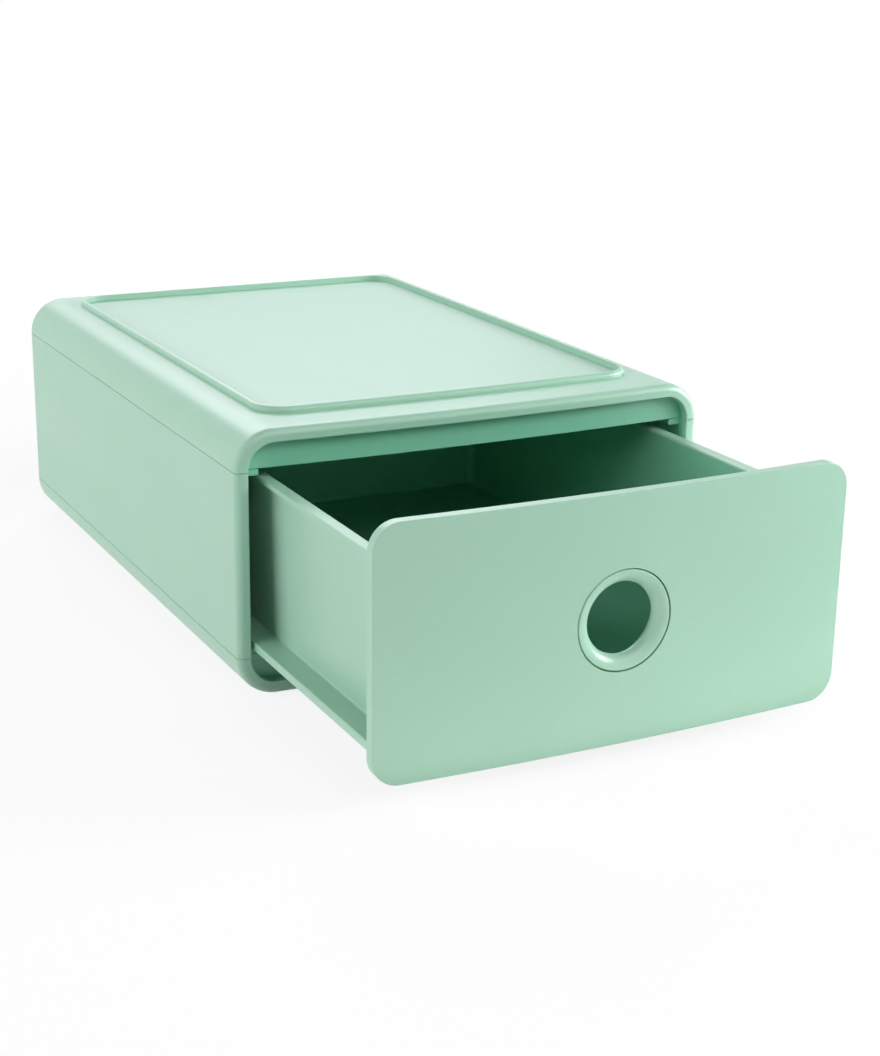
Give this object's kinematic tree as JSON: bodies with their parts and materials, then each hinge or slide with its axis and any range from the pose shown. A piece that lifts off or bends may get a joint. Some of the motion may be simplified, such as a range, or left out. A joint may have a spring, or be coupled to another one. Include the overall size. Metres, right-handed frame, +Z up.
{
  "type": "desktop drawer unit",
  "caption": "Low stackable desktop unit with rounded top and base, snapped side panels, and a bowed sliding drawer with a round finger pull.",
  "frame": {"origin": "centre of the shell's footprint, on the underside of the base tray; the feet stand 0.6 mm below it", "axes": "+X to the right seen from the front, +Y from the drawer to the back, +Z up"},
  "size_m": [0.18, 0.3382, 0.0958],
  "materials": {
    "shell_plastic": "satin mint green moulding",
    "drawer_plastic": "satin mint green moulding",
    "ring_plastic": "satin mint green moulding, smoother than the panels",
    "screw_steel": "zinc plated",
    "foot_rubber": "matt"
  },
  "bodies": {
    "shell": {"top_cover": "shell_plastic", "base_tray": "shell_plastic", "left_side_panel": "shell_plastic", "right_side_panel": "shell_plastic", "back_panel": "shell_plastic", "foot_front_left": "foot_rubber", "foot_front_right": "foot_rubber", "foot_back_left": "foot_rubber", "foot_back_right": "foot_rubber"},
    "drawer": {"drawer_tub": "drawer_plastic", "drawer_front": "drawer_plastic", "pull_ring": "ring_plastic", "screw_lower_left": "screw_steel", "screw_lower_right": "screw_steel", "screw_upper_left": "screw_steel", "screw_upper_right": "screw_steel"}
  },
  "joints": [
    {"name": "drawer_slide", "type": "slide", "parent": "shell", "child": "drawer", "axis": [0, -1, 0], "range_m": [-0.0932, 0.073]}
  ]
}
